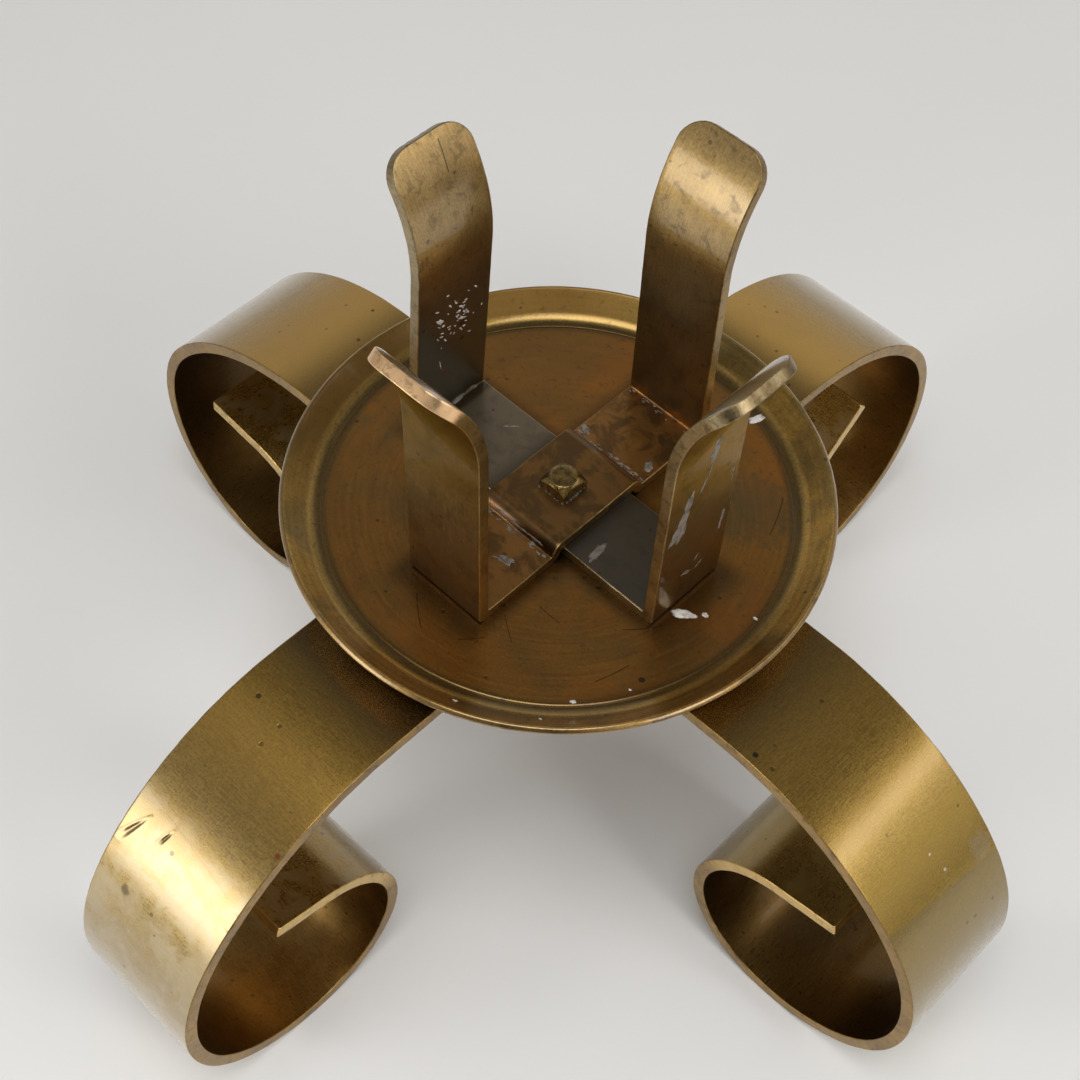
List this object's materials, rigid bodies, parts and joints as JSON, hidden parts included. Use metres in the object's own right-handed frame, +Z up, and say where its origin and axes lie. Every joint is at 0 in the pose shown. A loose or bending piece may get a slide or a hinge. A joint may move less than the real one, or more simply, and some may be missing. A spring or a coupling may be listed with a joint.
{
  "type": "candle holder",
  "caption": "Aged brass candle holder: a round drip pan clamped by crossed straps with upright prongs, standing on scroll feet rolled from flat bar, held by one square-head bolt.",
  "frame": {"origin": "on the floor, under the middle of the crossed leg straps; the bolt stands 1.2 mm off it", "axes": "+Z up; the lower clamp and leg straps run along X, the upper ones along Y"},
  "size_m": [0.3215, 0.329, 0.2209],
  "materials": {
    "leg_brass": "brushed, aged, lightly tarnished",
    "pan_brass": "spun, dark brown patina",
    "clamp_brass": "aged brown patina with wax traces",
    "wax": "dull traces of old candle wax",
    "fastener_brass": "dull, tarnished"
  },
  "bodies": {
    "root": {"lower_leg_strap": "leg_brass", "upper_leg_strap": "leg_brass", "drip_pan": "pan_brass", "lower_clamp_strap": "clamp_brass", "upper_clamp_strap": "clamp_brass", "clamp_bolt": "fastener_brass", "washer": "fastener_brass", "nut": "fastener_brass"}
  },
  "joints": []
}
